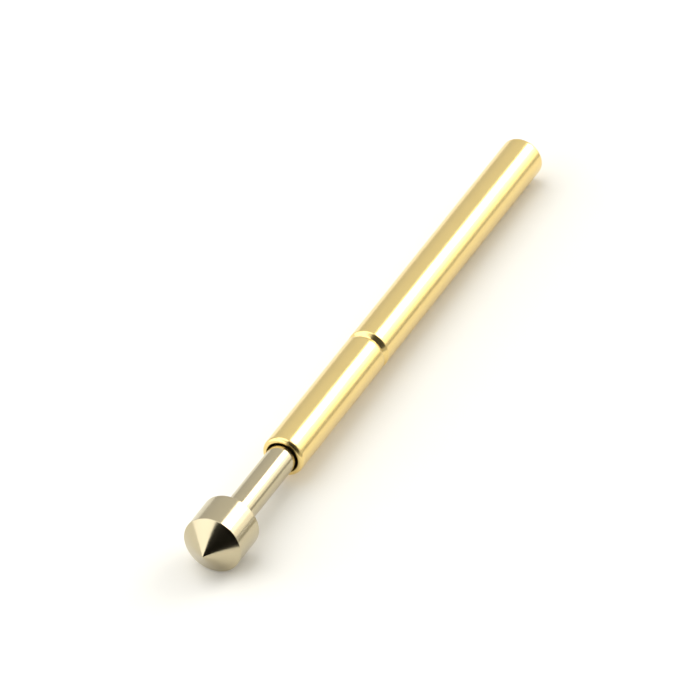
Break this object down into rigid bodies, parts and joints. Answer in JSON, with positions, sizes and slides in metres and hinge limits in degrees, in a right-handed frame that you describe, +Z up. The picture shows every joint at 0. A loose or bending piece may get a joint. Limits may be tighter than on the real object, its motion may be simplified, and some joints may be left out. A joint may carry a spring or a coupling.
{
  "type": "pogo pin",
  "caption": "Spring-loaded test probe with a large conical head, a slender shaft and a gold-plated tubular barrel held by a rolled groove.",
  "frame": {"origin": "on the pin's axis, halfway along the barrel's straight outside wall, where a receptacle grips it", "axes": "+X along the pin's axis from the point towards the closed end; +Z up; the pin is round, so Y and Z are alike"},
  "size_m": [0.0168, 0.0014, 0.0014],
  "materials": {
    "gold_plated_barrel": "gold plate over nickel on a drawn copper-alloy tube, semi-bright",
    "nickel_plated_plunger": "nickel plate on turned beryllium copper, bright",
    "gold_plated_spring": "thin gold plate on drawn music wire"
  },
  "bodies": {
    "barrel": {"barrel": "gold_plated_barrel", "spring": "gold_plated_spring"},
    "plunger": {"plunger": "nickel_plated_plunger"}
  },
  "joints": [
    {"name": "plunger_slide", "type": "slide", "parent": "barrel", "child": "plunger", "axis": [1, 0, 0], "range_m": [0, 0.00254], "stiffness_N_per_m": 430, "deforming": ["spring"]}
  ]
}
